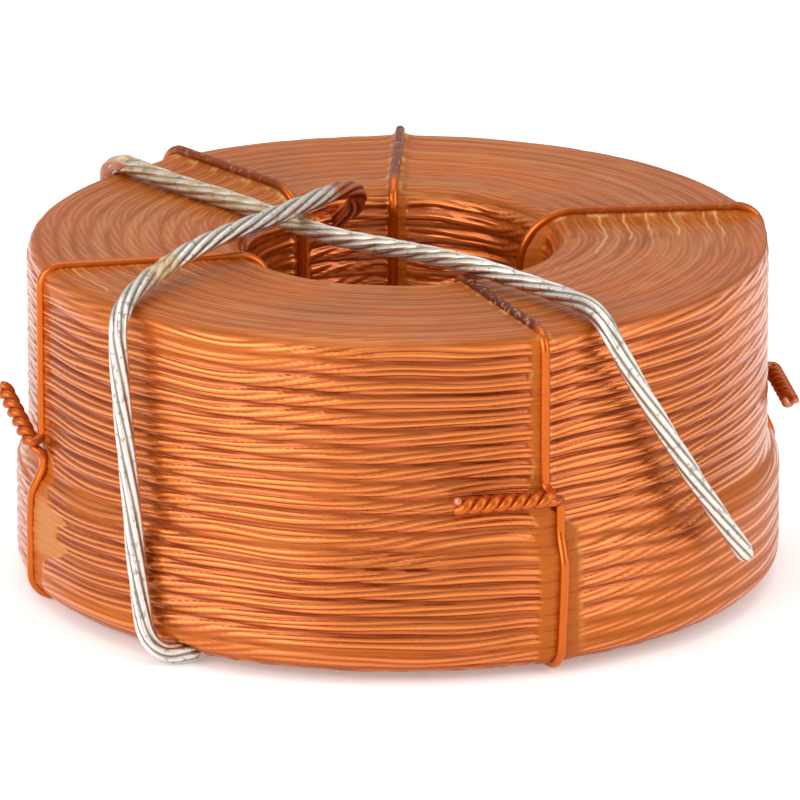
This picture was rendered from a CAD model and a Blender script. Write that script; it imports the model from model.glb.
"""Dresses the air core inductor: waxed turns of stranded wire, five binding wires and two tinned leads.

The coil's axis is Z and it stands on z = 0. Angles run from +X towards +Y. Sizes in the dataclasses are
millimetres, and meshes are made in metres.
"""

import logging
import math
from dataclasses import dataclass, field
from enum import Enum

import bmesh
import bpy
import numpy as np
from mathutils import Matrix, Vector


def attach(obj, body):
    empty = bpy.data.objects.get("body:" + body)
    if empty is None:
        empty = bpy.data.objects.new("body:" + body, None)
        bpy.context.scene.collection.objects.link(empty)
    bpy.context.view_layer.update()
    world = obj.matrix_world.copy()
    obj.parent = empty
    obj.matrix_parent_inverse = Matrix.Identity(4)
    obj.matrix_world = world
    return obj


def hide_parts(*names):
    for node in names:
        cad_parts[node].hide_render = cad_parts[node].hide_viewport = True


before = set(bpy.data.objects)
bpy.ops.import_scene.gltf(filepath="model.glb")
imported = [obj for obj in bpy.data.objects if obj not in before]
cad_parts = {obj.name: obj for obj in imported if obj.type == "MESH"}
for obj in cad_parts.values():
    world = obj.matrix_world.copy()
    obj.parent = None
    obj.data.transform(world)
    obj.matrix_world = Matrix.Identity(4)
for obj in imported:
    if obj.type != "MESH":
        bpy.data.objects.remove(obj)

log = logging.getLogger("inductor")
MM = 0.001
TURN = 2.0 * math.pi
EIGHTH = math.pi / 4.0
ARC_POINTS = 40
FAR = 99.0
TIP_BULGE = 0.12
HIDDEN = -1.0
Array = np.ndarray
Colour = tuple[float, float, float]
Point = tuple[float, float, float]


class Face(Enum):
    """The stretches that the coil's skin is made in, named by where they lie."""

    UPPER_WALL = "upper_wall_turns"
    LOWER_WALL = "lower_wall_turns"
    TOP = "top_turns"
    BORE = "bore_turns"
    UNDERSIDE = "underside_turns"


@dataclass(frozen=True)
class Winding:
    """The coil's section and the stranded wire that fills it, the same as the solid in the frame."""

    bore_radius: float = 16.5
    outer_radius: float = 40.0
    last_layer_step: float = 1.3
    last_layer_top: float = 11.5
    last_layer_fade: float = 3.0
    height: float = 36.4
    underside: float = 0.75
    top_edge: float = 2.0
    bottom_edge: float = 2.4
    bore_edge: float = 3.0
    turn_pitch: float = 1.89
    strand_radius: float = 0.325
    strand_ring: float = 0.65
    lay: float = 46.0

    @property
    def top(self) -> float:
        """Height of the upper face."""
        return self.underside + self.height

    @property
    def lower_radius(self) -> float:
        """Radius of the wall where the last layer lies."""
        return self.outer_radius + self.last_layer_step


@dataclass(frozen=True)
class Tie:
    """One binding wire: where it runs, how far it stands off and how its twisted end lies.

    The pairs are the wax's reach to the left and right of the lower leg, and the distances before the
    knot between which a leg that was pushed sideways comes back to its plane.
    """

    name: str
    bore_angle: float
    wall_angle: float
    top_lift: float
    bore_lift: float
    bore_bend: float
    knot_height: float
    knot_reach: float
    end_turn: float
    end_rise: float
    end_length: float
    dull_top: float
    dull_end: float = 0.3
    low_wax: tuple[float, float] = (0.9, 0.9)
    leg_shift: float = 0.0
    straightens: tuple[float, float] = (0.0, 9.0)


TIES: tuple[Tie, ...] = (
    Tie("front_tie", -68.0, -67.4, 0.0, 0.0, 3.2, 18.9, 1.75, -97.0, 0.5, 10.4, 1.0, 0.1,
        low_wax=(0.9, 3.8), leg_shift=1.8, straightens=(2.0, 48.0)),
    Tie("right_tie", 20.5, 11.5, 0.6, 1.9, 6.0, 18.4, 1.75, -92.0, -3.5, 9.6, 0.5, 0.4),
    Tie("rear_tie", 91.7, 89.5, 0.5, 0.0, 3.2, 18.4, 1.75, -94.0, 2.0, 9.8, 0.85),
    Tie("rear_left_tie", 130.5, 129.6, 0.8, 0.2, 4.6, 18.0, 1.75, -93.0, -4.0, 9.4, 0.75),
    Tie("left_tie", 211.0, 199.0, 0.0, 0.0, 3.2, 16.9, 1.4, -85.0, 27.0, 9.0, 0.2, 0.25,
        low_wax=(0.8, 3.0), leg_shift=0.9, straightens=(1.0, 8.0)),
)

START_LEAD_ROUTE: tuple[Point, ...] = (
    (-7.6, 16.6, 33.4),
    (-6.0, 15.1, 34.7),
    (-4.2, 13.9, 36.6),
    (-4.6, 11.6, 38.9),
    (-6.6, 8.0, 39.7),
    (-9.9, 1.8, 40.0),
    (-14.3, -5.4, 40.3),
    (-20.0, -13.0, 40.4),
    (-24.8, -19.2, 39.2),
    (-27.6, -25.2, 38.7),
    (-29.5, -31.1, 37.4),
    (-29.3, -30.8, 31.5),
    (-28.8, -31.1, 24.5),
    (-28.1, -31.9, 17.2),
    (-27.6, -32.5, 10.4),
    (-27.1, -33.1, 5.8),
    (-26.6, -33.9, 2.7),
    (-24.9, -34.6, 1.15),
    (-22.8, -34.2, 1.0),
    (-21.2, -33.2, 1.05),
)
FINISH_LEAD_ROUTE: tuple[Point, ...] = (
    (-31.3, 25.0, 33.6),
    (-31.9, 25.6, 36.2),
    (-30.9, 24.0, 38.2),
    (-28.4, 20.7, 38.5),
    (-24.0, 15.6, 38.2),
    (-17.0, 8.3, 38.15),
    (-11.0, 1.6, 37.75),
    (-6.6, -4.4, 38.0),
    (0.2, -9.9, 38.45),
    (7.0, -16.7, 39.05),
    (13.6, -23.1, 38.7),
    (18.4, -28.6, 38.6),
    (21.0, -33.6, 38.7),
    (22.9, -36.9, 36.0),
    (24.8, -35.2, 31.8),
    (28.4, -31.9, 24.6),
    (32.5, -28.9, 16.9),
    (37.2, -25.6, 9.0),
)


# ---- Numbers and shapes ----------------------------------------------------------------------------


def smoothstep(low: float, high: float, value: Array) -> Array:
    """Rises smoothly from 0 to 1 as value goes from low to high.

    Args:
        low: Where the rise starts.
        high: Where it ends.
        value: The values to judge.

    Returns:
        The rise at each value.
    """
    t = np.clip((value - low) / (high - low), 0.0, 1.0)
    return t * t * (3.0 - 2.0 * t)


def fall(low: float, high: float, value: Array) -> Array:
    """Falls smoothly from 1 to 0 as value goes from low to high."""
    return 1.0 - smoothstep(low, high, value)


def bell(middle: float, width: float, value: Array, power: float = 2) -> Array:
    """A smooth hump that is 1 at the middle and sinks to about a third at the width.

    Args:
        middle: Where the hump stands.
        width: How wide it is.
        value: The values to judge.
        power: A higher power gives a flatter hump with steeper sides.

    Returns:
        The hump's height at each value.
    """
    return np.exp(-(((value - middle) / width) ** power))


def soft_max(first: Array, second: Array, width: float) -> Array:
    """The larger of two heights, with the crease between them rounded.

    Args:
        first: One height.
        second: The other.
        width: How wide the rounding is.

    Returns:
        The rounded larger height.
    """
    mix = np.clip(0.5 + 0.5 * (first - second) / width, 0.0, 1.0)
    return second * (1.0 - mix) + first * mix + width * mix * (1.0 - mix)


def lengths_along(points: Array) -> Array:
    """Distance of each point along the line that the points make."""
    return np.concatenate([[0.0], np.cumsum(np.linalg.norm(np.diff(points, axis=0), axis=1))])


def points_at(places: Array, points: Array) -> Array:
    """The points of a line at given distances along it."""
    lengths = lengths_along(points)
    return np.stack([np.interp(places, lengths, column) for column in points.T], axis=1)


def arc(middle: tuple[float, float], radius: float, start: float, end: float) -> Array:
    """Points on an arc of the section, between two angles in eighths of a turn."""
    swing = np.linspace(start, end, ARC_POINTS) * EIGHTH
    return np.column_stack([middle[0] + radius * np.cos(swing), middle[1] + radius * np.sin(swing)])


class Ripple:
    """Smooth seeded unevenness over the coil, which closes on itself after a whole turn."""

    def __init__(self, seed: int, per_turn: float, per_mm: float, waves: int = 14) -> None:
        """Draws the waves.

        Args:
            seed: Fixes the pattern.
            per_turn: Typical number of waves round the coil.
            per_mm: Typical number of waves for each millimetre along the section.
            waves: How many waves are added together.
        """
        source = np.random.default_rng(seed)
        self.round = np.round(source.normal(0.0, per_turn, waves))
        self.along = source.normal(0.0, per_mm, waves) * TURN
        self.start = source.uniform(0.0, TURN, waves)

    def at(self, angle: Array, along: Array) -> Array:
        """Unevenness at angles in radians and distances in millimetres, about -1 to 1."""
        total = np.zeros(np.broadcast(angle, along).shape)
        for round_count, along_count, start in zip(self.round, self.along, self.start):
            total += np.cos(round_count * angle + along_count * along + start)
        return total / math.sqrt(len(self.start) / 2.0) * 0.6


def rounded_outline(corners: list[tuple[float, float]], bends: list[float], step: float) -> Array:
    """A closed outline with round corners, as points spaced evenly along it.

    Args:
        corners: The corners, in order.
        bends: The radius at each corner.
        step: The spacing of the points.

    Returns:
        The points, two numbers in each row, from the middle of the first corner's bend.
    """
    count = len(corners)
    line: list[tuple[float, float]] = []
    middle_index = 0
    for index in range(count):
        before, here, after = (np.array(corners[(index + k) % count]) for k in (-1, 0, 1))
        arriving = (here - before) / np.linalg.norm(here - before)
        leaving = (after - here) / np.linalg.norm(after - here)
        turn = math.acos(float(np.clip(arriving @ leaving, -1.0, 1.0)))
        reach = bends[index] * math.tan(turn / 2.0)
        inwards = (leaving - arriving) / np.linalg.norm(leaving - arriving)
        centre = here + inwards * bends[index] / math.cos(turn / 2.0)
        first = here - arriving * reach - centre
        side = 1.0 if arriving[0] * leaving[1] - arriving[1] * leaving[0] > 0 else -1.0
        for part in range(17):
            swing = side * turn * part / 16.0
            c, s = math.cos(swing), math.sin(swing)
            line.append(tuple(centre + np.array([c * first[0] - s * first[1], s * first[0] + c * first[1]])))
        if index == 0:
            middle_index = 8
    points = np.array(line[middle_index:] + line[:middle_index] + [line[middle_index]])
    length = lengths_along(points)[-1]
    return points_at(np.linspace(0.0, length, max(8, round(length / step)) + 1), points)


@dataclass
class TieShape:
    """Where one tie's loop lies, worked out from the winding that it holds."""

    tie: Tie
    winding: Winding
    wire: float = 1.05
    bed: float = 0.3
    inner: Array = field(init=False)
    outwards: Array = field(init=False)
    span: float = field(init=False)

    def __post_init__(self) -> None:
        """Finds the upright plane that the loop lies in."""
        self.inner = self.polar(self.winding.bore_radius, self.tie.bore_angle)
        outer = self.polar(self.winding.outer_radius, self.tie.wall_angle)
        self.span = float(np.linalg.norm(outer - self.inner))
        self.outwards = (outer - self.inner) / self.span

    @staticmethod
    def polar(radius: float, angle: float) -> Array:
        """Point in plan at a radius and an angle in degrees."""
        return radius * np.array([math.cos(math.radians(angle)), math.sin(math.radians(angle))])

    @property
    def offset(self) -> float:
        """How far the wire's centre lies above the wax."""
        return self.wire / 2.0 - self.bed

    def loop(self, step: float = 0.25) -> Array:
        """The loop's centre line in its plane: distance from the bore's wall, and height.

        Args:
            step: The spacing of the points.

        Returns:
            The points, from the lower bend at the bore and then outwards along the underside.
        """
        coil, tie, off = self.winding, self.tie, self.offset
        inner_leg, outer_leg = -(off + tie.bore_lift), self.span + off
        low, high = coil.underside - off, coil.top + off + tie.top_lift
        corners = [
            (inner_leg, low),
            (outer_leg + coil.last_layer_step, low),
            (outer_leg + coil.last_layer_step, coil.underside + coil.last_layer_top),
            (outer_leg, coil.underside + coil.last_layer_top + coil.last_layer_fade),
            (outer_leg, high),
            (inner_leg, high),
        ]
        fade = coil.last_layer_fade
        bends = [coil.bore_edge + off, coil.bottom_edge + off, fade, fade]
        bends += [coil.top_edge + off + tie.top_lift, tie.bore_bend]
        return rounded_outline(corners, bends, step)

    def place(self, across: Array, height: Array) -> Array:
        """Points of the loop's plane in space, in millimetres."""
        plan = self.inner[None, :] + np.asarray(across)[:, None] * self.outwards[None, :]
        return np.column_stack([plan, height])

    def offsets(self, points: Array) -> tuple[Array, Array]:
        """How far points lie along the loop's plane from the bore's wall, and how far to its right."""
        dx, dy = points[:, 0] - self.inner[0], points[:, 1] - self.inner[1]
        along = dx * self.outwards[0] + dy * self.outwards[1]
        return along, dx * self.outwards[1] - dy * self.outwards[0]



SKIN_NUMBERS = ("wax", "depth", "thick", "crack")


# ---- Node helpers -----------------------------------------------------------------------------------


class Nodes:
    """A small hand for wiring one node tree."""

    def __init__(self, tree: bpy.types.NodeTree) -> None:
        """Keeps the tree that nodes are added to."""
        self.tree = tree

    def add(self, kind: str, **values: object) -> bpy.types.Node:
        """Adds a node and sets its sockets or properties.

        Args:
            kind: The node's type name.
            values: Properties by name, or sockets by name with spaces written as underscores.

        Returns:
            The new node.
        """
        node = self.tree.nodes.new(kind)
        for name, value in values.items():
            if hasattr(node, name):
                setattr(node, name, value)
                continue
            socket = node.inputs[name.replace("_", " ")]
            if isinstance(value, bpy.types.NodeSocket):
                self.tree.links.new(value, socket)
            else:
                socket.default_value = value
        return node

    def link(self, source: bpy.types.NodeSocket, target: bpy.types.NodeSocket) -> None:
        """Joins two sockets."""
        self.tree.links.new(source, target)

    def math(self, operation: str, *values: object) -> bpy.types.NodeSocket:
        """Adds a Math node and returns its output.

        Args:
            operation: The node's operation.
            values: Sockets or numbers for its inputs, in order.

        Returns:
            The result's socket.
        """
        node = self.tree.nodes.new("ShaderNodeMath")
        node.operation = operation
        self._fill(node.inputs, values)
        return node.outputs[0]

    def mix(self, factor: object, low: object, high: object) -> bpy.types.NodeSocket:
        """Adds a colour mix and returns its output.

        Args:
            factor: How much of high shows.
            low: Colour at 0.
            high: Colour at 1.

        Returns:
            The mixed colour's socket.
        """
        node = self.tree.nodes.new("ShaderNodeMix")
        node.data_type = "RGBA"
        node.clamp_factor = True
        self._fill((node.inputs[0], node.inputs[6], node.inputs[7]), (factor, low, high))
        return node.outputs[2]

    def blend(self, factor: object, low: object, high: object) -> bpy.types.NodeSocket:
        """Adds a number mix and returns its output."""
        node = self.tree.nodes.new("ShaderNodeMix")
        node.data_type = "FLOAT"
        self._fill((node.inputs[0], node.inputs[2], node.inputs[3]), (factor, low, high))
        return node.outputs[0]

    def scaled(self, value: object, factor: float, offset: float = 0.0) -> bpy.types.NodeSocket:
        """A number times a factor, with an offset added."""
        return self.math("MULTIPLY_ADD", value, factor, offset)

    def attribute(self, name: str) -> bpy.types.NodeSocket:
        """Reads one of the mesh's own number attributes."""
        node = self.tree.nodes.new("ShaderNodeAttribute")
        node.attribute_name = name
        return node.outputs["Fac"]

    def feed(self, node: bpy.types.Node, values: dict[str, object]) -> None:
        """Sets or links a node's sockets by name."""
        self._fill([node.inputs[name] for name in values], values.values())

    def _fill(self, sockets: object, values: object) -> None:
        """Sets or links each socket from its value."""
        for socket, value in zip(sockets, values):
            if isinstance(value, bpy.types.NodeSocket):
                self.tree.links.new(value, socket)
            elif isinstance(value, tuple) and len(value) == 3:
                socket.default_value = (*value, 1.0)
            else:
                socket.default_value = value


def linear(red: int, green: int, blue: int) -> Colour:
    """Turns a screen colour, 0 to 255, into the linear colour that shaders use."""
    parts = [value / 255.0 for value in (red, green, blue)]
    return tuple(p / 12.92 if p <= 0.04045 else ((p + 0.055) / 1.055) ** 2.4 for p in parts)


def unevenness_group() -> bpy.types.NodeTree:
    """Makes the group that gives soft blotches and fine grain, fixed to the object.

    Returns:
        The group, with Blotch and Grain outputs from 0 to 1.
    """
    tree = bpy.data.node_groups.new("handled_surface", "ShaderNodeTree")
    for name, value in (("Blotch Size", 260.0), ("Grain Size", 2600.0)):
        socket = tree.interface.new_socket(name, in_out="INPUT", socket_type="NodeSocketFloat")
        socket.default_value = value
    for name in ("Blotch", "Grain"):
        tree.interface.new_socket(name, in_out="OUTPUT", socket_type="NodeSocketFloat")
    nodes = Nodes(tree)
    ends = nodes.add("NodeGroupInput")
    place = nodes.add("ShaderNodeTexCoord").outputs["Object"]
    blotch = nodes.add("ShaderNodeTexNoise", Vector=place, Scale=ends.outputs[0], Detail=4.0, Roughness=0.6)
    grain = nodes.add("ShaderNodeTexNoise", Vector=place, Scale=ends.outputs[1], Detail=2.0)
    out = nodes.add("NodeGroupOutput")
    nodes.link(blotch.outputs[0], out.inputs[0])
    nodes.link(grain.outputs[0], out.inputs[1])
    return tree


@dataclass
class Finish:
    """A surface finish: its name and the group of unevenness that it shares with the others."""

    name: str
    unevenness: bpy.types.NodeTree

    def start(self, blotch: float, grain: float) -> tuple[Nodes, bpy.types.Node, bpy.types.Node]:
        """Makes an empty material with its shader and its unevenness.

        Args:
            blotch: Scale of the blotches, waves for each metre.
            grain: Scale of the grain.

        Returns:
            The node hand, the shader and the unevenness node.
        """
        material = bpy.data.materials.new(self.name)
        material.use_nodes = True
        material.node_tree.nodes.clear()
        self.material = material
        nodes = Nodes(material.node_tree)
        shader = nodes.add("ShaderNodeBsdfPrincipled")
        out = nodes.add("ShaderNodeOutputMaterial")
        nodes.link(shader.outputs[0], out.inputs[0])
        patches = nodes.tree.nodes.new("ShaderNodeGroup")
        patches.node_tree = self.unevenness
        patches.inputs["Blotch Size"].default_value = blotch
        patches.inputs["Grain Size"].default_value = grain
        return nodes, shader, patches

    def bump(
            self, nodes: Nodes, shader: bpy.types.Node, height: object, strength: float, reach: float) -> None:
        """Adds fine relief to the shader."""
        node = nodes.add("ShaderNodeBump", Strength=strength, Distance=reach, Height=height)
        nodes.link(node.outputs[0], shader.inputs["Normal"])


@dataclass
class WaxedCopper(Finish):
    """Enamelled copper strands that show through wax, read from the skin's own attributes."""

    bright: Colour = linear(232, 132, 52)
    middle: Colour = linear(180, 86, 30)
    gap: Colour = linear(112, 46, 12)
    wax_thin: Colour = linear(190, 98, 14)
    wax_thick: Colour = linear(148, 74, 4)
    pale: Colour = linear(214, 158, 92)
    ember: Colour = linear(176, 82, 16)
    sunken: Colour = linear(144, 64, 16)

    def build(self) -> bpy.types.Material:
        """Builds the material."""
        nodes, shader, patches = self.start(190.0, 1900.0)
        blotch = patches.outputs["Blotch"]
        wax, depth, thick, crack = (nodes.attribute(name) for name in SKIN_NUMBERS)
        below_crest = nodes.math("SMOOTH_MIN", nodes.scaled(depth, 3.4), 1.0, 0.1)
        strand = nodes.mix(below_crest, self.bright, self.middle)
        strand = nodes.mix(nodes.scaled(depth, 1.7, -0.55), strand, self.gap)
        mottled = nodes.add("ShaderNodeVectorMath", operation="SCALE")
        nodes.link(nodes.mix(thick, self.wax_thin, self.wax_thick), mottled.inputs[0])
        nodes.link(nodes.blend(blotch, 0.66, 1.3), mottled.inputs[3])
        streak = nodes.math("MULTIPLY", nodes.scaled(depth, -1.2, 0.7), nodes.scaled(blotch, 1.7))
        streak = nodes.math("MULTIPLY", streak, nodes.scaled(thick, -0.4, 1.0))
        toned = nodes.mix(streak, mottled.outputs[0], self.ember)
        sunk = nodes.math("MULTIPLY", nodes.scaled(depth, 1.3, -0.42), nodes.scaled(thick, -1.0, 1.0))
        toned = nodes.mix(sunk, toned, self.sunken)
        coat = nodes.math("MULTIPLY", nodes.scaled(wax, -0.56, 0.6), nodes.scaled(depth, -0.8, 1.0))
        nodes.feed(shader, {
            "Base Color": nodes.mix(crack, nodes.mix(wax, strand, toned), self.pale),
            "Metallic": nodes.scaled(wax, -0.72, 0.72),
            "Roughness": nodes.math("ADD", nodes.blend(wax, 0.22, 0.42), nodes.scaled(blotch, 0.12)),
            "Coat Weight": coat,
            "Coat Roughness": 0.12,
            "Specular IOR Level": 0.17,
        })
        self.bump(nodes, shader, patches.outputs["Grain"], 0.16, 0.00012)
        return self.material


@dataclass
class Enamel(Finish):
    """Clear enamel on solid copper, darkened where old wax lies on it, with bare cut ends."""

    bright: Colour = linear(206, 98, 6)
    mellow: Colour = linear(176, 80, 10)
    dull: Colour = linear(96, 40, 18)
    crumb: Colour = linear(196, 140, 108)
    cut: Colour = linear(206, 138, 112)

    def build(self) -> bpy.types.Material:
        """Builds the material."""
        nodes, shader, patches = self.start(420.0, 1300.0)
        dull = nodes.attribute("dull")
        shaded = nodes.mix(nodes.scaled(patches.outputs["Blotch"], 0.5), self.bright, self.mellow)
        crumb = nodes.math("MINIMUM", nodes.scaled(patches.outputs["Grain"], 9.0, -5.04), 0.7)
        crumb = nodes.math("MULTIPLY", crumb, nodes.math("MULTIPLY", dull, dull))
        colour = nodes.mix(crumb, nodes.mix(dull, shaded, self.dull), self.crumb)
        nodes.feed(shader, {
            "Base Color": nodes.mix(nodes.attribute("cut"), colour, self.cut),
            "Metallic": nodes.scaled(dull, -0.55, 0.75),
            "Roughness": nodes.blend(dull, 0.24, 0.45),
            "Specular IOR Level": 0.2,
            "Coat Weight": nodes.scaled(dull, -0.32, 0.34),
            "Coat Roughness": 0.1,
        })
        self.bump(nodes, shader, patches.outputs["Grain"], 0.12, 0.0001)
        return self.material


@dataclass
class Tinned(Finish):
    """Solder over stranded copper, bare near the coil and yellowed by flux in places."""

    tin: Colour = linear(228, 220, 210)
    tin_bright: Colour = linear(232, 228, 222)
    tin_dark: Colour = linear(124, 108, 92)
    flux: Colour = linear(174, 146, 96)
    flux_cream: Colour = linear(216, 188, 150)
    copper: Colour = linear(214, 126, 86)
    copper_dark: Colour = linear(136, 66, 42)

    def build(self) -> bpy.types.Material:
        """Builds the material."""
        nodes, shader, patches = self.start(520.0, 1500.0)
        blotch = patches.outputs["Blotch"]
        bare, film, groove = (nodes.attribute(name) for name in ("bare", "flux", "depth"))
        tin = nodes.mix(blotch, self.tin, self.tin_bright)
        tin = nodes.mix(nodes.math("POWER", groove, 2.5), tin, self.tin_dark)
        tin = nodes.mix(film, tin, self.flux)
        tin = nodes.mix(nodes.math("MINIMUM", nodes.scaled(film, 7.0, -5.6), 1.0), tin, self.flux_cream)
        fleck = nodes.scaled(patches.outputs["Grain"], 7.0, -4.06)
        tin = nodes.mix(nodes.math("MINIMUM", fleck, 0.55), tin, self.tin_dark)
        nodes.feed(shader, {
            "Base Color": nodes.mix(bare, tin, nodes.mix(groove, self.copper, self.copper_dark)),
            "Metallic": nodes.scaled(film, -0.45, 1.0),
            "Roughness": nodes.scaled(blotch, 0.26, 0.26),
        })
        self.bump(nodes, shader, blotch, 0.35, 0.0001)
        return self.material


@dataclass
class AmberWax(Finish):
    """Thick amber wax, creamy where it lies in the light on top of a wire."""

    deep: Colour = linear(132, 52, 10)
    light: Colour = linear(176, 96, 40)
    cream: Colour = linear(222, 190, 138)

    def build(self) -> bpy.types.Material:
        """Builds the material."""
        nodes, shader, patches = self.start(600.0, 3000.0)
        blotch = patches.outputs["Blotch"]
        creamy = nodes.math("MULTIPLY", nodes.attribute("cream"), nodes.scaled(blotch, 1.6))
        nodes.feed(shader, {
            "Base Color": nodes.mix(creamy, nodes.mix(blotch, self.deep, self.light), self.cream),
            "Roughness": nodes.scaled(patches.outputs["Grain"], 0.2, 0.3),
            "Coat Weight": 0.5,
            "Coat Roughness": 0.15,
        })
        self.bump(nodes, shader, blotch, 0.3, 0.0003)
        return self.material


# ---- Mesh helpers -----------------------------------------------------------------------------------


def fresh_object(mesh_name: str) -> bpy.types.Object:
    """Names the object that an operator has just added."""
    piece = bpy.context.object
    piece.name = mesh_name
    piece.data.name = mesh_name
    return piece


def set_points(piece: bpy.types.Object, points: Array) -> None:
    """Moves a mesh's vertices to points given in millimetres."""
    piece.data.vertices.foreach_set("co", (points * MM).astype(np.float32).ravel())
    piece.data.update()


def get_points(piece: bpy.types.Object) -> Array:
    """Reads a mesh's vertices in millimetres."""
    flat = np.empty(len(piece.data.vertices) * 3, dtype=np.float32)
    piece.data.vertices.foreach_get("co", flat)
    return flat.reshape(-1, 3).astype(float) / MM


def set_attribute(piece: bpy.types.Object, name: str, values: Array) -> None:
    """Writes one number for each vertex."""
    layer = piece.data.attributes.get(name) or piece.data.attributes.new(name, "FLOAT", "POINT")
    layer.data.foreach_set("value", np.asarray(values, dtype=np.float32).ravel())


def get_attribute(piece: bpy.types.Object, name: str) -> Array:
    """Reads one number for each vertex."""
    values = np.empty(len(piece.data.vertices), dtype=np.float32)
    piece.data.attributes[name].data.foreach_get("value", values)
    return values


def spun_ring(name: str, rows: Array, marks: Array, steps: int) -> bpy.types.Object:
    """Spins a closed outline round the coil's axis.

    Args:
        name: The new object's name.
        rows: Radius and height of the outline's points, in millimetres, in order.
        marks: The distance along the coil's section that each point stands for.
        steps: How many steps make the whole turn.

    Returns:
        The ring, with a "section" attribute that holds the marks.
    """
    bpy.ops.object.select_all(action="DESELECT")
    bpy.ops.mesh.primitive_circle_add(vertices=len(rows), radius=0.01, fill_type="NOTHING")
    ring = fresh_object(name)
    set_points(ring, np.column_stack([rows[:, 0], np.zeros(len(rows)), rows[:, 1]]))
    set_attribute(ring, "section", marks)
    bpy.ops.object.mode_set(mode="EDIT")
    bpy.ops.mesh.select_all(action="SELECT")
    bpy.ops.mesh.spin(steps=steps, angle=TURN, use_auto_merge=True, center=(0, 0, 0), axis=(0, 0, 1))
    bpy.ops.mesh.select_all(action="SELECT")
    bpy.ops.mesh.remove_doubles(threshold=1e-6)
    bpy.ops.mesh.normals_make_consistent(inside=False)
    bpy.ops.object.mode_set(mode="OBJECT")
    bpy.ops.object.shade_smooth()
    return ring


def swept_tube(name: str, path: Array, outline: Array, twist: Array, sizes: Array) -> bpy.types.Object:
    """Sweeps an outline along a path into one closed mesh, built face by face.

    Args:
        name: The new object's name.
        path: The centre line, in millimetres.
        outline: Radius at each side of the section, in millimetres.
        twist: Turn of the section about the path at each point, in radians.
        sizes: Scale of the section at each point.

    Returns:
        The closed tube, with an "along" attribute from 0 at its start to its length in millimetres.
    """
    sides, rings = len(outline), len(path)
    bpy.ops.object.select_all(action="DESELECT")
    tube = bpy.data.objects.new(name, bpy.data.meshes.new(name))
    bpy.context.scene.collection.objects.link(tube)
    directions = np.gradient(path, axis=0)
    directions /= np.linalg.norm(directions, axis=1)[:, None]
    side = np.cross(directions[0], [0.0, 0.0, 1.0])
    if np.linalg.norm(side) < 0.1:
        side = np.cross(directions[0], [0.0, 1.0, 0.0])
    points = np.empty((rings, sides, 3))
    around = np.arange(sides) * TURN / sides
    for index in range(rings):
        side = side - directions[index] * (side @ directions[index])
        side /= np.linalg.norm(side)
        up = np.cross(directions[index], side)
        angle = around + twist[index]
        reach = outline[:, None] * sizes[index]
        points[index] = path[index] + reach * (np.cos(angle)[:, None] * side + np.sin(angle)[:, None] * up)
    flat = points.reshape(-1, 3)
    ends = np.array([path[0] - directions[0] * TIP_BULGE, path[-1] + directions[-1] * TIP_BULGE])
    shape = bmesh.new()
    verts = [shape.verts.new(point * MM) for point in np.concatenate([flat, ends])]
    for ring in range(rings - 1):
        for corner in range(sides):
            after = (corner + 1) % sides
            low, high = ring * sides, (ring + 1) * sides
            corners = (low + corner, low + after, high + after, high + corner)
            shape.faces.new([verts[index] for index in corners])
    for corner in range(sides):
        after = (corner + 1) % sides
        last = (rings - 1) * sides
        shape.faces.new((verts[after], verts[corner], verts[-2]))
        shape.faces.new((verts[last + corner], verts[last + after], verts[-1]))
    bmesh.ops.recalc_face_normals(shape, faces=shape.faces)
    shape.to_mesh(tube.data)
    shape.free()
    bpy.context.view_layer.objects.active = tube
    tube.select_set(True)
    bpy.ops.object.shade_smooth()
    lengths = lengths_along(path)
    set_attribute(tube, "along", np.concatenate([np.repeat(lengths, sides), [0.0, lengths[-1]]]))
    return tube


def route_line(name: str, route: tuple[Point, ...]) -> Array:
    """Reads the smooth line that a lead's route gives, from a spline with the route as control points.

    Args:
        name: Name for the curve, which is removed again.
        route: The control points, in millimetres.

    Returns:
        The line's points, in millimetres.
    """
    curve = bpy.data.curves.new(name, "CURVE")
    curve.dimensions = "3D"
    spline = curve.splines.new("NURBS")
    spline.points.add(len(route) - 1)
    for point, (x, y, z) in zip(spline.points, route):
        point.co = (x * MM, y * MM, z * MM, 1.0)
    spline.order_u = 3
    spline.use_endpoint_u = True
    spline.resolution_u = 16
    carrier = bpy.data.objects.new(name, curve)
    bpy.context.scene.collection.objects.link(carrier)
    bpy.context.view_layer.update()
    line = bpy.data.meshes.new_from_object(carrier)
    points = np.array([vertex.co[:] for vertex in line.vertices]) / MM
    bpy.data.objects.remove(carrier)
    bpy.data.meshes.remove(line)
    bpy.data.curves.remove(curve)
    return points


# ---- The coil's skin --------------------------------------------------------------------------------


@dataclass
class Spots:
    """Points of the coil's plain surface, and what part of the coil each one lies on.

    Heights are measured from the coil's underside, and front is the angle in degrees. The shares run
    from 0 to 1. Crisp is where the turns show clearest, and rounding is what wax fills at the rim.
    """

    points: Array
    angle: Array
    mark: Array
    height: Array
    front: Array
    on_top: Array
    on_wall: Array
    in_bore: Array
    crisp: Array
    rounding: Array
    broad: Array
    fine: Array


@dataclass
class TieWax:
    """The wax round the ties at each point: distance to the nearest tie, and what lies there."""

    near: Array
    lift: Array
    reach: Array
    skirt: Array
    edge: Array
    flake: Array


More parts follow.
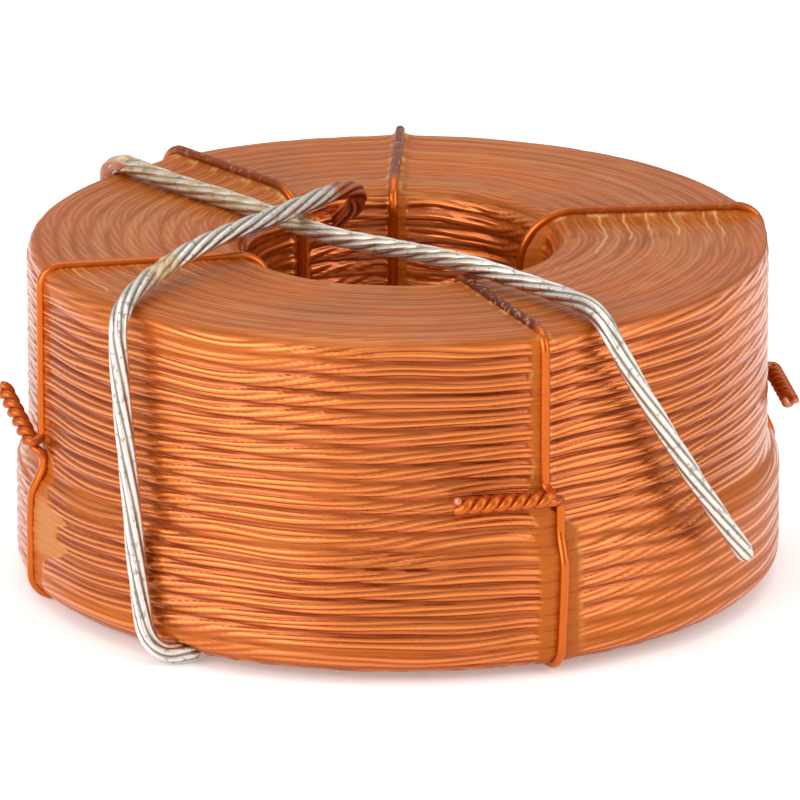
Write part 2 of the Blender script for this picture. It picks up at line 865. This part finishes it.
@dataclass
class Skin:
    """The coil's visible surface: turns of stranded wire, drowned more or less deep in wax."""

    winding: Winding
    shapes: list[TieShape]
    lead_tail: Array
    columns: int = 400
    flattening: float = 0.6
    thickness: float = 2.2
    rows: dict[Face, float] = field(default_factory=lambda: {
        Face.UPPER_WALL: 0.092, Face.LOWER_WALL: 0.092, Face.TOP: 0.14, Face.BORE: 0.2, Face.UNDERSIDE: 0.4,
    })

    def __post_init__(self) -> None:
        """Lays out the section, its stretches, the turns and the lay of their strands."""
        line = self.section_line()
        self.length = float(lengths_along(line)[-1])
        self.marks = np.linspace(0.0, self.length, 12001)
        self.radius, self.height = points_at(self.marks, line).T.copy()
        slope_r, slope_z = np.gradient(self.radius), np.gradient(self.height)
        size = np.hypot(slope_r, slope_z)
        self.normal_r, self.normal_z = -slope_z / size, slope_r / size
        self.spans = self.stretches()
        self.turns = round(self.length / self.winding.turn_pitch)
        self.pitch = self.length / self.turns
        self.travel, self.swing = self.strand_turning()

    def section_line(self) -> Array:
        """Radius and height of points round the section, from the middle of the bore's upper edge."""
        coil = self.winding
        top, low = coil.top, coil.underside
        be, te, bo = coil.bore_edge, coil.top_edge, coil.bottom_edge
        upper_bore, lower_bore = (coil.bore_radius + be, top - be), (coil.bore_radius + be, low + be)
        part = np.linspace(0.0, 1.0, ARC_POINTS)
        layer_end = np.column_stack([
            coil.outer_radius + coil.last_layer_step * smoothstep(0.0, 1.0, part),
            low + coil.last_layer_top + coil.last_layer_fade * (1.0 - part),
        ])
        line = np.concatenate([
            arc(upper_bore, be, 3, 2),
            arc((coil.outer_radius - te, top - te), te, 2, 0),
            layer_end,
            arc((coil.lower_radius - bo, low + bo), bo, 0, -2),
            arc(lower_bore, be, -2, -4),
            arc(upper_bore, be, 4, 3),
        ])
        gaps = np.linalg.norm(np.diff(line, axis=0), axis=1)
        return line[np.concatenate([[True], gaps > 1e-6])]

    def stretches(self) -> dict[Face, tuple[float, float]]:
        """Where each stretch of the skin starts and ends along the section."""
        coil = self.winding
        top, low = coil.top, coil.underside
        cut = 1.0 - math.cos(EIGHTH)
        be, te, bo = cut * coil.bore_edge, cut * coil.top_edge, cut * coil.bottom_edge
        places = {
            Face.UPPER_WALL: (coil.outer_radius - te, top - te),
            Face.LOWER_WALL: (coil.outer_radius, low + 18.0),
            Face.UNDERSIDE: (coil.lower_radius - bo, low + bo),
            Face.BORE: (coil.bore_radius + be, low + be),
        }
        starts = [0.0]
        for r, z in places.values():
            starts.append(float(self.marks[np.argmin(np.hypot(self.radius - r, self.height - z))]))
        return dict(zip((Face.TOP, *places), zip(starts, [*starts[1:], self.length])))

    def strand_turning(self) -> tuple[Array, Array]:
        """How far the strands have turned about each other along the wire.

        Returns:
            The wire's travel round the coil, in radians, and the strands' turn at each travel.
        """
        travel = np.linspace(-TURN, TURN * (self.turns + 2), 4001)
        place = (travel / TURN + 0.5) * self.pitch % self.length
        rate = TURN * np.interp(place, self.marks, self.radius) / self.winding.lay
        swing = np.concatenate([[0.0], np.cumsum(0.5 * (rate[1:] + rate[:-1]) * np.diff(travel))])
        whole = np.interp(TURN * self.turns, travel, swing) - np.interp(0.0, travel, swing)
        sixth = TURN / 6.0
        return travel, -swing * round(whole / sixth) * sixth / whole

    def ripple(self, seed: int, per_turn: float, per_mm: float, angle: Array, mark: Array) -> Array:
        """Unevenness that also closes on itself along the whole section."""
        wave = Ripple(seed, per_turn, per_mm)
        unit = TURN / self.length
        wave.along = np.round(wave.along / unit) * unit
        return wave.at(angle, mark)

    def columns_at(self) -> Array:
        """Angles of the ring's columns, closer together near the ties."""
        angle = np.linspace(-math.pi, math.pi, 3601)
        density = np.full(angle.shape, 1.0)
        for shape in self.shapes:
            bore, wall = shape.tie.bore_angle, shape.tie.wall_angle
            for place in (bore, 0.5 * (bore + wall), wall):
                off = (angle - math.radians(place) + math.pi) % TURN - math.pi
                density += 1.1 * bell(0.0, math.radians(4.5), off)
        total = np.concatenate([[0.0], np.cumsum(0.5 * (density[1:] + density[:-1]))])
        total /= total[-1]
        return np.interp(np.linspace(0.0, 1.0, self.columns + 1), total, angle)

    def strands(self, angle: Array, mark: Array) -> tuple[Array, Array, Array]:
        """Height of the stranded turns over their own deepest gap, from 0 to about 1.

        Args:
            angle: Angle of each point, in radians.
            mark: Its distance along the section.

        Returns:
            The height, in millimetres, how near each point is to its strand's crest, and how near it is to
            the gap between two turns.
        """
        coil = self.winding
        wander = 0.16 * self.ripple(3, 5.0, 0.05, angle, mark)
        wander = wander + 0.07 * self.ripple(4, 14.0, 0.3, angle, mark)
        turn = (mark + wander) / self.pitch - angle / (TURN)
        whole = np.floor(turn)
        across = (turn - whole - 0.5) * self.pitch
        length = angle + TURN * whole
        phase = np.interp(length, self.travel, self.swing) + 1.3 * self.ripple(5, 7.0, 0.02, angle, mark)
        best, crest = np.full(np.shape(mark), 0.12), np.zeros(np.shape(mark))
        for strand in range(6):
            swing = phase + strand * math.pi / 3.0
            off = across - coil.strand_ring * np.sin(swing)
            inside = np.maximum(coil.strand_radius**2 - off**2, 0.0)
            height = self.flattening * coil.strand_ring * np.cos(swing) + np.sqrt(inside)
            higher = (inside > 0.0) & (height > best)
            crest = np.where(higher, np.sqrt(inside) / coil.strand_radius, crest)
            best = np.where(inside > 0.0, soft_max(best, height, 0.07), best)
        return best, crest, bell(0.5 * self.pitch, 0.13, np.abs(across))

    def spots(self, points: Array, angle: Array, mark: Array) -> Spots:
        """Works out what part of the coil each point of the plain surface lies on.

        Args:
            points: The plain surface's points, in millimetres.
            angle: Their angles, in radians.
            mark: Their distances along the section.

        Returns:
            The points and their parts.
        """
        coil = self.winding
        height = points[:, 2] - coil.underside
        front = np.degrees(angle)
        facing = np.interp(mark, self.marks, self.normal_z)
        upper_half = height > 0.5 * coil.height
        outer = np.hypot(points[:, 0], points[:, 1]) > 30.0
        crisp = smoothstep(-96.0, -84.0, front) * fall(10.0, 24.0, front)
        lean = np.minimum(np.arccos(np.clip(facing, -1.0, 1.0)), np.arcsin(np.clip(facing, 0.0, 1.0)))
        rounding = coil.top_edge * (1.0 / np.cos(lean) - 1.0) * upper_half * outer * (0.1 + 0.65 * crisp)
        return Spots(
            points, angle, mark, height, front,
            on_top=smoothstep(0.52, 0.8, facing) * upper_half,
            on_wall=fall(0.6, 0.85, np.abs(facing)) * outer,
            in_bore=fall(0.5, 0.8, np.abs(facing)) * ~outer,
            crisp=crisp,
            rounding=rounding,
            broad=self.ripple(11, 6.0, 0.05, angle, mark),
            fine=self.ripple(12, 22.0, 0.35, angle, mark),
        )

    def wax_level(self, at: Spots) -> tuple[Array, Array]:
        """How high the wax stands between the strands, before the ties are counted.

        Args:
            at: The points.

        Returns:
            The level, in millimetres, and the share of the smooth patch low on the right.
        """
        coil, where = self.winding, (at.angle, at.mark)
        height, front, on_wall = at.height, at.front, at.on_wall
        level = 0.28 + 0.09 * at.broad + 0.05 * at.fine
        level += at.on_top * (0.33 + 0.04 * at.broad)
        level += at.in_bore * (0.04 + 0.12 * self.ripple(13, 3.0, 0.09, *where))
        ends = bell(-6.0, 26.0, front, 4) + bell(180.0, 22.0, np.abs(front), 4)
        layer_end = coil.last_layer_top + 0.5 * coil.last_layer_fade + 0.3
        band = bell(layer_end, 1.25, height) * np.clip(0.7 + 0.5 * at.broad, 0.0, 1.2)
        upper = smoothstep(coil.height - 6.0, coil.height - 0.8, height) * (1.0 - 0.7 * at.crisp)
        blotches = smoothstep(-0.2, 0.9, self.ripple(15, 9.0, 0.2, *where) + 0.1)
        left_corner = smoothstep(-168.0, -150.0, front) * fall(-112.0, -88.0, front)
        left_corner = left_corner * smoothstep(coil.height - 4.6, coil.height - 1.6, height)
        foot = fall(1.2, 4.6, height) * np.clip(0.65 + 0.5 * at.broad, 0.0, 1.2) * fall(-66.0, -30.0, front)
        level += on_wall * (0.22 * ends + 0.3 * band + 0.2 * upper * blotches)
        level += on_wall * (0.5 * left_corner + 0.34 * foot)
        brim = 4.0 + 9.0 * smoothstep(-62.0, -24.0, front)
        patch = smoothstep(-67.0, -62.0, front) * fall(20.0, 40.0, front) * on_wall
        patch = patch * fall(brim - 1.0, brim + 2.5, height)
        side_patch = bell(-8.0, 16.0, front, 4) * bell(12.5, 6.0, height, 4) * on_wall
        uneven = 0.6 + 0.4 * smoothstep(-0.6, 0.4, self.ripple(16, 7.0, 0.12, *where))
        level += np.maximum(0.5 * patch, 0.24 * side_patch) * uneven
        return level, patch

    def tie_wax(self, at: Spots) -> TieWax:
        """Works out the wax that holds the ties: where it climbs to the wire and how far it spreads.

        Args:
            at: The points.

        Returns:
            The wax at each point.
        """
        count = len(at.mark)
        near, reach, lift = np.full(count, FAR), np.full(count, 0.6), np.zeros(count)
        left_side = np.zeros(count, dtype=bool)
        below_knot = fall(14.5, 17.5, at.height)
        for shape in self.shapes:
            along, right = shape.offsets(at.points)
            side = np.where(along > -6.0, np.abs(right), FAR)
            closer = side < near
            left = right > 0.0
            high_reach = np.where(left, 1.35, 0.6)
            low_reach = np.where(left, *shape.tie.low_wax)
            reach = np.where(closer, high_reach + (low_reach - high_reach) * below_knot, reach)
            left_side = np.where(closer, left, left_side)
            near = np.where(closer, side, near)
            close = np.flatnonzero(side < 5.0)
            loop = shape.loop(0.35)
            off = np.hypot(along[close][:, None] - loop[:, 0], at.points[close, 2][:, None] - loop[:, 1])
            rise = np.clip(off.min(axis=1) - shape.offset, 0.0, 3.0)
            lift[close] = np.maximum(lift[close], rise * bell(0.0, 1.0, side[close], 1.3))
        flake = smoothstep(4.6, 6.8, at.height) * fall(10.0, 13.0, at.height)
        flake = flake * (np.abs(at.front + 154.0) < 9.0)
        flake = flake * ~left_side * (1.0 + 0.3 * self.ripple(23, 2.0, 0.5, at.angle, at.mark))
        reach = reach + 4.4 * flake
        brim = reach + 0.16 * self.ripple(21, 3.0, 0.3, at.angle, at.mark)
        brim = brim + 0.12 * self.ripple(22, 3.0, 0.6, at.angle, at.mark)
        skirt = fall(brim - 0.1, brim + 0.3, near)
        edge = bell(0.0, 0.13, near - brim) * skirt_fade(at.height, self.winding.height) * (reach > 1.0)
        edge = edge * smoothstep(-0.3, 0.6, at.fine + 0.3 * at.broad)
        return TieWax(near, lift, reach, skirt, edge, flake)

    def relief(self, at: Spots) -> dict[str, Array]:
        """How far each point of the skin moves out, and what shows there.

        Args:
            at: The points.

        Returns:
            The move and the numbers that the finish reads.
        """
        on_top, on_wall, fine, where = at.on_top, at.on_wall, at.fine, (at.angle, at.mark)
        level, patch = self.wax_level(at)
        tie = self.tie_wax(at)
        level += tie.skirt * (0.4 - 0.3 * on_top)
        strand, crest, seam = self.strands(at.angle, at.mark - 0.3 * bell(0.0, 2.6, tie.near) * on_wall)
        softened = soft_max(strand, np.minimum(level, 0.62 + 0.1 * patch), 0.2)
        drowned = np.clip(softened - strand, 0.0, 1.0)
        wax = np.maximum.reduce([
            0.9 * smoothstep(0.04, 0.24, drowned),
            on_top * (0.6 + 0.35 * smoothstep(0.0, 0.3, drowned)),
            tie.skirt * 0.95 * (tie.reach > 0.7),
            smoothstep(0.06, 0.4, tie.lift),
        ])
        meniscus = 0.1 * bell(0.0, 0.35, np.maximum(tie.near - 0.5, 0.0), 1.4) * (tie.near < 6.0)
        ring_lines = 0.2 * seam * on_top * smoothstep(-0.2, 0.9, self.ripple(31, 9.0, 0.3, *where))
        streaks = 0.2 * on_top * smoothstep(0.0, 1.2, self.ripple(33, 3.0, 0.5, *where) + 0.4 * fine)
        crumbs = 0.6 * bell(0.7, 0.2, tie.near) * on_top * smoothstep(-0.1, 0.6, fine)
        flake = 0.3 * tie.skirt * np.minimum(1.6 * tie.flake, 1.0)
        crack = self.cracks(at) + 0.5 * tie.edge * on_wall + ring_lines + streaks + flake + crumbs
        thick = 0.8 * on_top + 0.25 * tie.skirt * (1.0 - on_top) + 0.35 * at.broad * on_top + 0.35 * patch
        depth = 0.55 * (0.715 - strand) / 0.6 + 0.45 * (1.0 - crest)
        shown = {"wax": wax, "depth": depth, "thick": thick, "crack": crack}
        shown = {name: np.clip(values, 0.0, 1.0) for name, values in shown.items()}
        shown["move"] = (softened - 0.66) * (1.0 - 0.4 * on_top) + meniscus + tie.lift + at.rounding
        return shown

    def cracks(self, at: Spots) -> Array:
        """Pale cracks that start at two of the ties and wander along the turns."""
        total = np.zeros(at.mark.shape)
        radius = np.hypot(at.points[:, 0], at.points[:, 1])
        source = np.random.default_rng(8)
        plans = ((1, 6, (21.5, 37.0), -1.0, (6.0, 14.0)), (4, 3, (24.0, 38.0), 1.0, (5.0, 12.0)))
        for which, count, span, way, reach in plans:
            along, right = self.shapes[which].offsets(at.points)
            side = -way * right
            for number in range(count):
                middle = span[0] + (span[1] - span[0]) * (number + source.uniform(0.1, 0.8)) / count
                length = source.uniform(*reach)
                starts = source.uniform(0.0, 6.0, 2)
                wander = 0.14 * np.sin(side * 0.8 + starts[0]) + 0.06 * np.sin(side * 2.1 + starts[1])
                line = bell(middle, 0.1, radius - wander) * (along > 0.0)
                inside = smoothstep(0.2, 0.8, side) * fall(length - 1.5, length, side)
                total += line * inside * source.uniform(0.9, 1.3)
        return np.clip(total, 0.0, 1.0) * at.on_top

    def build(self, face: Face, finish: bpy.types.Material) -> bpy.types.Object:
        """Builds one stretch of the skin as a closed ring.

        Args:
            face: Which stretch.
            finish: Its material.

        Returns:
            The finished piece.
        """
        start, end = self.spans[face]
        count = max(8, round((end - start) / self.rows[face]))
        marks = np.linspace(start, end, count + 1)
        profile = (self.radius, self.height, self.normal_r, self.normal_z)
        radius, height, normal_r, normal_z = (np.interp(marks, self.marks, part) for part in profile)
        back = [-1, count // 2, 0]
        rows = np.column_stack([radius, height])
        hidden = rows[back] - self.thickness * np.column_stack([normal_r, normal_z])[back]
        section = np.concatenate([marks, np.full(len(back), HIDDEN)])
        ring = spun_ring(face.value, np.concatenate([rows, hidden]), section, self.columns)
        mark = get_attribute(ring, "section").astype(float)
        plain = get_points(ring)
        angle = np.arctan2(plain[:, 1], plain[:, 0])
        column = np.round((angle + math.pi) / TURN * self.columns)
        angle = self.columns_at()[np.clip(column, 0, self.columns).astype(int)]
        away = np.hypot(plain[:, 0], plain[:, 1])
        base = np.column_stack([away * np.cos(angle), away * np.sin(angle), plain[:, 2]])
        visible = mark >= 0.5 * HIDDEN
        angle, seen = angle[visible], mark[visible]
        shown = self.relief(self.spots(base[visible], angle, seen))
        move = shown["move"] - self.dent(face, base[visible])
        out_r = np.interp(seen, self.marks, self.normal_r) * move
        out_z = np.interp(seen, self.marks, self.normal_z) * move
        base[visible] += np.column_stack([out_r * np.cos(angle), out_r * np.sin(angle), out_z])
        set_points(ring, base)
        for name in SKIN_NUMBERS:
            values = np.zeros(len(mark))
            values[visible] = shown[name]
            set_attribute(ring, name, values)
        ring.data.materials.append(finish)
        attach(ring, "root")
        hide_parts("winding")
        log.info("%s: %d faces", face.value, len(ring.data.polygons))
        return ring

    def dent(self, face: Face, points: Array) -> Array:
        """How far the wax is pressed in by the start lead's tucked end."""
        if face not in (Face.LOWER_WALL, Face.UNDERSIDE):
            return np.zeros(len(points))
        gap = np.linalg.norm(points[:, None, :] - self.lead_tail[None, :, :], axis=2).min(axis=1)
        return 1.5 * np.clip(1.25 - gap, 0.0, 1.2)


def skirt_fade(height: Array, full: float) -> Array:
    """Fades the pale edge of the wax beside a tie near the coil's rims."""
    return smoothstep(0.5, 3.0, height) * fall(full - 3.0, full - 0.8, height)


# ---- Ties and leads ---------------------------------------------------------------------------------


@dataclass
class BindingWire:
    """One tie: a loop of enamelled wire whose two ends are twisted together."""

    shape: TieShape
    twist_pitch: float = 2.9
    pair_spacing: float = 0.94
    sides: int = 12
    trim: int = 4
    bend_points: int = 6

    @property
    def knot_level(self) -> float:
        """Height of the knot on the wall."""
        return self.shape.winding.underside + self.shape.tie.knot_height

    def legs(self) -> tuple[Array, Array]:
        """The loop round the coil, open at the knot.

        Returns:
            Its points, in millimetres, and how dull the wire is at each.
        """
        tie, coil, span = self.shape.tie, self.shape.winding, self.shape.span
        loop = self.shape.loop(0.3)
        on_leg = np.flatnonzero(loop[:, 0] > span - 1.0)
        cut = on_leg[np.argmin(np.abs(loop[on_leg, 1] - self.knot_level))]
        ordered = np.concatenate([loop[cut:-1], loop[:cut]])[self.trim:-self.trim]
        across, height = ordered[:, 0], ordered[:, 1]
        left_to_go = lengths_along(ordered[::-1])[::-1]
        sideways = np.array([-self.shape.outwards[1], self.shape.outwards[0], 0.0])
        shift = tie.leg_shift * fall(*tie.straightens, left_to_go)
        points = self.shape.place(across, height) + shift[:, None] * sideways
        dull = tie.dull_top * smoothstep(coil.top - 0.4, coil.top + 0.1, height)
        return points, dull * smoothstep(0.5, 4.0, across) * fall(span - 2.4, span - 0.4, across)

    def twisted_end(self) -> tuple[Array, list[Array]]:
        """The two strands that are twisted together past the knot.

        Returns:
            The way that the end points, and each strand's points from the knot outwards.
        """
        tie, coil = self.shape.tie, self.shape.winding
        heading, rise = math.radians(tie.wall_angle + tie.end_turn), math.radians(tie.end_rise)
        level = math.cos(rise)
        ahead = np.array([math.cos(heading) * level, math.sin(heading) * level, math.sin(rise)])
        foot = self.shape.polar(coil.outer_radius + tie.knot_reach, tie.wall_angle)
        root = np.array([*foot, self.knot_level])
        side = np.cross(ahead, [0.0, 0.0, 1.0])
        side /= np.linalg.norm(side)
        up = np.cross(side, ahead)
        run = np.arange(0.0, tie.end_length + 0.01, 0.18)
        strands = []
        for start in (0.25 * TURN, 0.75 * TURN):
            angle = TURN * run / self.twist_pitch + start
            around = np.cos(angle)[:, None] * side + np.sin(angle)[:, None] * up
            strands.append(root + run[:, None] * ahead + 0.5 * self.pair_spacing * around)
        return ahead, strands

    def path(self) -> tuple[Array, Array]:
        """The wire's centre line from one cut end to the other.

        Returns:
            The points, in millimetres, and how dull the wire is at each.
        """
        points, dull = self.legs()
        ahead, (first, second) = self.twisted_end()
        line = np.concatenate([
            first[:0:-1],
            self.bridge(first[1], points[0], -ahead, points[1] - points[0]),
            points,
            self.bridge(points[-1], second[1], points[-1] - points[-2], ahead),
            second[1:],
        ])
        plain = np.full(len(line), self.shape.tie.dull_end)
        begins = len(first) - 1 + self.bend_points
        plain[begins:begins + len(points)] = dull
        return line, plain

    def bridge(self, start: Array, end: Array, leaving: Array, arriving: Array) -> Array:
        """Points on a smooth bend between two ends of wire.

        Args:
            start: Where the bend begins.
            end: Where it ends.
            leaving: Direction at its start.
            arriving: Direction at its end.

        Returns:
            The points between the two ends.
        """
        pull = float(np.linalg.norm(end - start)) * 0.42
        first = start + leaving / np.linalg.norm(leaving) * pull
        second = end - arriving / np.linalg.norm(arriving) * pull
        t = np.linspace(0.0, 1.0, self.bend_points + 2)[1:-1, None]
        rest = 1.0 - t
        return rest**3 * start + 3 * rest**2 * t * first + 3 * rest * t**2 * second + t**3 * end

    def build(self, finish: bpy.types.Material) -> bpy.types.Object:
        """Builds the tie and puts it in its CAD solid's place."""
        line, dull = self.path()
        outline = np.full(self.sides, self.shape.wire / 2.0)
        name = f"{self.shape.tie.name}_wire"
        wire = swept_tube(name, line, outline, np.zeros(len(line)), np.ones(len(line)))
        set_attribute(wire, "dull", np.concatenate([np.repeat(dull, self.sides), [0.0, 0.0]]))
        cut = np.zeros(len(line))
        cut[[0, -1]] = 0.6
        set_attribute(wire, "cut", np.concatenate([np.repeat(cut, self.sides), [1.0, 1.0]]))
        wire.data.materials.append(finish)
        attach(wire, "root")
        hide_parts(self.shape.tie.name)
        log.info("%s: %d faces", name, len(wire.data.polygons))
        return wire


@dataclass
class Lead:
    """One of the coil's ends, brought out and tinned: six strands laid round a seventh."""

    name: str
    route: tuple[Point, ...]
    bare_until: float
    flux_spans: tuple[tuple[float, float, float], ...]
    loose: tuple[float, float]
    diameter: float = 2.08
    strand_radius: float = 0.35
    lay: float = 19.0
    sides: int = 60

    def line(self) -> Array:
        """The lead's centre line, read from the route's spline."""
        return route_line(f"{self.name}_route", self.route)

    def section(self) -> Array:
        """Radius of the six-lobed section at each of its sides."""
        angle = np.arange(self.sides) * TURN / self.sides
        ring = self.diameter / 2.0 - self.strand_radius
        off = (angle + math.pi / 6.0) % (math.pi / 3.0) - math.pi / 6.0
        inside = np.maximum(self.strand_radius**2 - (ring * np.sin(off)) ** 2, 0.0)
        lobe = ring * np.cos(off) + np.sqrt(inside)
        return soft_max(lobe, np.full(lobe.shape, 0.8 * self.diameter / 2.0), 0.08)

    def build(self, finish: bpy.types.Material) -> bpy.types.Object:
        """Args:
            finish: Its material.

        Returns:
            The finished piece.
        """
        spline = self.line()
        length = float(lengths_along(spline)[-1])
        places = np.linspace(0.0, length, round(length / 0.4) + 1)
        line = points_at(places, spline)
        outline = self.section()
        lay = self.lay * (1.25 + 0.2 * np.sin(places / 11.0) + 0.8 * smoothstep(*self.loose, places))
        twist = -np.cumsum(np.concatenate([[0.0], np.diff(places) * TURN / lay[1:]]))
        sizes = 1.0 + 0.018 * np.sin(places / 3.1) + 0.012 * np.sin(places / 1.3 + 2.0)
        sizes = sizes * (1.0 - 0.3 * smoothstep(length - 0.7, length, places))
        lead = swept_tube(f"{self.name}_strands", line, outline, twist, sizes)
        along = get_attribute(lead, "along").astype(float)
        groove = 1.0 - (outline - outline.min()) / (outline.max() - outline.min())
        depth = np.concatenate([np.tile(groove, len(line)), [0.3, 0.3]])
        set_attribute(lead, "depth", depth)
        bare = fall(self.bare_until - 0.8, self.bare_until + 0.8, along + 1.2 * (depth - 0.5))
        set_attribute(lead, "bare", bare)
        film = np.zeros(len(along))
        for start, end, weight in self.flux_spans:
            cover = smoothstep(start - 1.0, start + 1.5, along) * fall(end - 3.0, end + 2.0, along)
            film = np.maximum(film, weight * cover * (0.7 + 0.3 * np.sin(along * 1.7 + depth * 3.0)))
        set_attribute(lead, "flux", film)
        lead.data.materials.append(finish)
        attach(lead, "root")
        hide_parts(self.name)
        log.info("%s: %.1f mm long", self.name, length)
        return lead


# ---- Wax lumps, floor, lights and camera -----------------------------------------------------------


@dataclass
class ExitWax:
    """The lump of amber wax that the finish lead comes out of."""

    line: Array
    reach: float = 8.2
    sides: int = 32

    def build(self, finish: bpy.types.Material) -> bpy.types.Object:
        """Builds the lump round the lead's first stretch."""
        places = np.linspace(0.6, self.reach, 34)
        path = points_at(places, self.line)
        around = np.arange(self.sides) * TURN / self.sides
        outline = 1.08 + 0.07 * np.sin(around * 3.0 + 1.0) + 0.04 * np.sin(around * 7.0)
        sizes = 1.04 - 0.012 * places + 0.04 * np.sin(places * 2.1)
        sizes = sizes * (0.86 + 0.14 * fall(self.reach - 1.6, self.reach, places))
        lump = swept_tube("finish_exit_wax", path, outline, 0.08 * places, sizes)
        nearest = np.clip(np.arange(len(lump.data.vertices)) // self.sides, 0, len(path) - 1)
        away = get_points(lump) - path[nearest]
        set_attribute(lump, "cream", smoothstep(0.2, 0.9, away[:, 2]))
        lump.data.materials.append(finish)
        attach(lump, "root")
        log.info("finish_exit_wax: %d faces", len(lump.data.polygons))
        return lump


@dataclass
class Studio:
    """The floor, the soft lights and the camera."""

    target: Point = (0.0, 0.0, 0.01895)
    distance: float = 1.1993
    elevation: float = 17.478
    lens: float = 498.6
    shift: tuple[float, float] = (0.00294, -0.00613)

    def floor(self) -> None:
        """Lays the pale floor."""
        bpy.ops.object.select_all(action="DESELECT")
        bpy.ops.mesh.primitive_plane_add(size=6.0, location=(0.0, 0.0, -0.0002))
        ground = fresh_object("pale_floor")
        material = bpy.data.materials.new("pale_paper")
        material.use_nodes = True
        shader = material.node_tree.nodes["Principled BSDF"]
        shader.inputs["Base Color"].default_value = (0.94, 0.94, 0.94, 1.0)
        shader.inputs["Roughness"].default_value = 0.9
        shader.inputs["Emission Color"].default_value = (1.0, 1.0, 1.0, 1.0)
        shader.inputs["Emission Strength"].default_value = 0.24
        shader.inputs["Specular IOR Level"].default_value = 0.1
        ground.data.materials.append(material)

    def light(self, name: str, place: Point, size: tuple[float, float], power: float) -> None:
        """Adds one soft light that faces the coil.

        Args:
            name: The light's name.
            place: Where it stands, in metres.
            size: Its width and height.
            power: Its strength in watts.
        """
        lamp = bpy.data.lights.new(name, "AREA")
        lamp.shape = "RECTANGLE"
        lamp.size, lamp.size_y = size
        lamp.energy = power
        holder = bpy.data.objects.new(name, lamp)
        holder.location = place
        aim = Vector(self.target) - Vector(place)
        holder.rotation_euler = aim.to_track_quat("-Z", "Y").to_euler()
        bpy.context.scene.collection.objects.link(holder)

    def lights(self) -> None:
        """Sets the world and the lights."""
        world = bpy.data.worlds.new("white_room")
        world.use_nodes = True
        nodes = Nodes(world.node_tree)
        direction = nodes.add("ShaderNodeTexCoord").outputs["Generated"]
        upwards = nodes.add("ShaderNodeSeparateXYZ", Vector=direction).outputs[2]
        background = world.node_tree.nodes["Background"]
        tone = nodes.mix(nodes.math("MULTIPLY", upwards, 1.25), (0.6, 0.59, 0.58), (1.0, 1.0, 1.0))
        nodes.link(tone, background.inputs[0])
        background.inputs[1].default_value = 0.8
        bpy.context.scene.world = world
        self.light("overhead", (0.0, 0.15, 0.9), (0.9, 0.9), 2.7)
        self.light("left_box", (-0.62, -0.5, 0.3), (0.75, 0.6), 4.4)
        self.light("right_box", (0.66, -0.36, 0.32), (0.5, 0.6), 2.0)
        bpy.context.scene.view_settings.view_transform = "Standard"

    def camera(self) -> None:
        """Places the camera."""
        data = bpy.data.cameras.new("front_camera")
        data.sensor_width = 36.0
        data.lens = self.lens
        data.shift_x, data.shift_y = self.shift
        data.clip_start = 0.05
        data.clip_end = 20.0
        holder = bpy.data.objects.new("front_camera", data)
        rise = math.radians(self.elevation)
        target = Vector(self.target)
        holder.location = target + Vector((0.0, -math.cos(rise), math.sin(rise))) * self.distance
        holder.rotation_euler = (target - holder.location).to_track_quat("-Z", "Y").to_euler()
        bpy.context.scene.collection.objects.link(holder)
        bpy.context.scene.camera = holder


def main() -> None:
    """Builds and dresses the whole coil."""
    logging.basicConfig(level=logging.INFO, format="%(name)s: %(message)s")
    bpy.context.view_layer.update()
    studio = Studio()
    studio.camera()
    unevenness = unevenness_group()
    tinned = Tinned("tinned_strands", unevenness).build()
    start_lead = Lead(
        "start_lead", START_LEAD_ROUTE, 14.0,
        flux_spans=((13.0, 18.0, 0.3), (44.0, 50.0, 1.6)), loose=(44.0, 54.0))
    finish_lead = Lead(
        "finish_lead", FINISH_LEAD_ROUTE, 0.0,
        flux_spans=((0.0, 40.0, 0.8), (40.0, 62.0, 0.4)), loose=(74.0, 84.0))
    for lead in (start_lead, finish_lead):
        lead.build(tinned)
    winding = Winding()
    shapes = [TieShape(tie, winding) for tie in TIES]
    skin = Skin(winding, shapes, start_lead.line()[-60:])
    waxed = WaxedCopper("waxed_copper", unevenness).build()
    for face in Face:
        skin.build(face, waxed)
    enamel = Enamel("binding_enamel", unevenness).build()
    for shape in shapes:
        BindingWire(shape).build(enamel)
    ExitWax(finish_lead.line()).build(AmberWax("amber_wax", unevenness).build())
    studio.floor()
    studio.lights()


if __name__ == "__main__":
    main()
